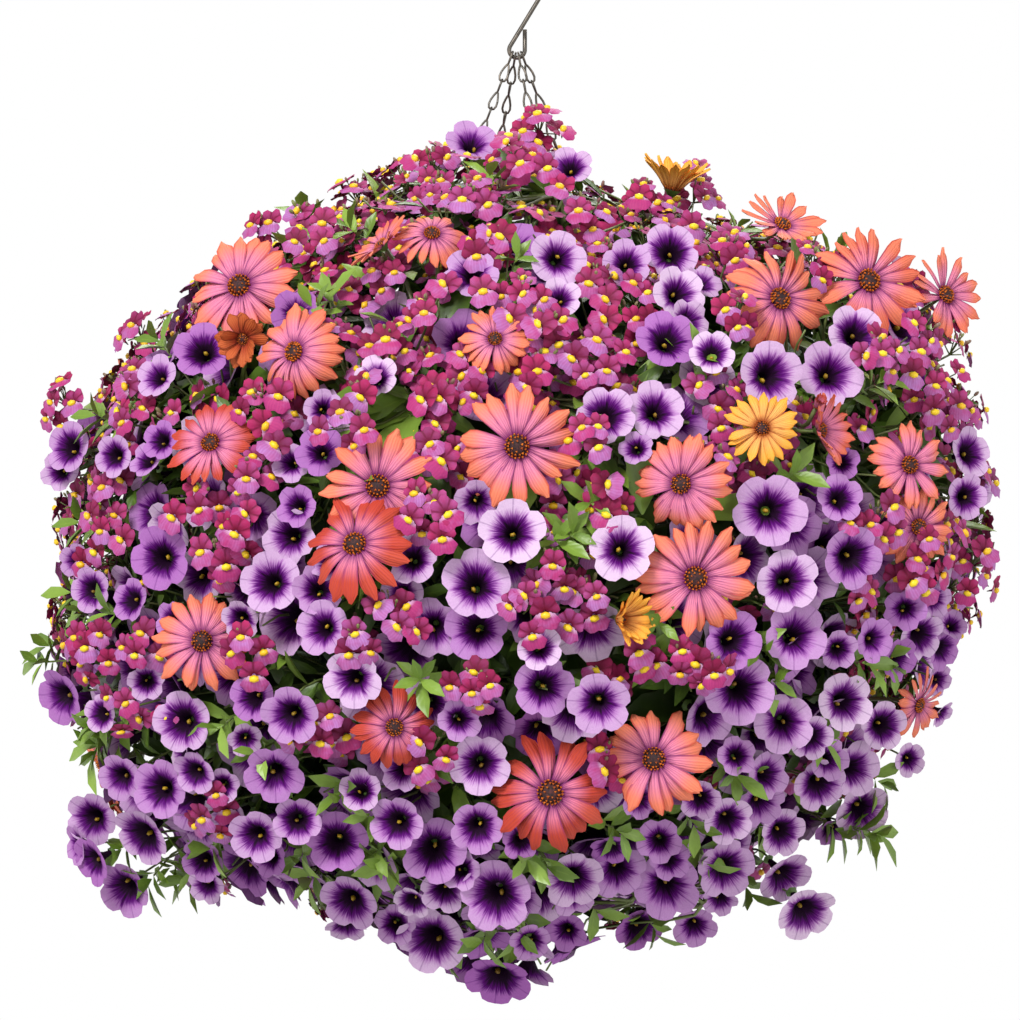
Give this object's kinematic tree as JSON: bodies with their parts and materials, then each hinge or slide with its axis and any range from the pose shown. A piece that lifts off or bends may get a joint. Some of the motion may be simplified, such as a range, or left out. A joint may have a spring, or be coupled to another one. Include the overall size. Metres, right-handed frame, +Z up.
{
  "type": "hanging flower basket",
  "caption": "Hanging pot planted as a ball of nemesia, trailing trumpet flowers and daisies, carried by chain legs from an S hook.",
  "frame": {"origin": "hang point: the inner top of the hook's upper bend, on the plumb line of the pot", "axes": "+Z up along the plumb line, -Y towards the pictured front, +X to its right"},
  "size_m": [0.5158, 0.4962, 0.5738],
  "materials": {
    "dark_steel": "dark bronze-grey wire",
    "pot_plastic": "dark moulded plastic",
    "soil": "loose dark compost",
    "osteospermum": "coral rays, dark discs, green leaves",
    "calibrachoa": "lilac trumpets with dark throats, green leaves",
    "nemesia": "magenta florets with yellow palates, green leaves"
  },
  "bodies": {
    "root": {"hook": "dark_steel", "chain_leg_left": "dark_steel", "chain_leg_back": "dark_steel", "chain_leg_front": "dark_steel", "chain_leg_right": "dark_steel", "hanging_pot": "pot_plastic", "soil": "soil", "osteospermum_left": "osteospermum", "osteospermum_front": "osteospermum", "osteospermum_right": "osteospermum", "osteospermum_back_right": "osteospermum", "osteospermum_back_left": "osteospermum", "nemesia_front_left": "nemesia", "nemesia_front_right": "nemesia", "nemesia_right": "nemesia", "nemesia_back_right": "nemesia", "nemesia_back_left": "nemesia", "nemesia_left": "nemesia", "calibrachoa_left": "calibrachoa", "calibrachoa_front": "calibrachoa", "calibrachoa_right": "calibrachoa", "calibrachoa_far_right": "calibrachoa", "calibrachoa_back": "calibrachoa", "calibrachoa_back_left": "calibrachoa"}
  },
  "joints": []
}
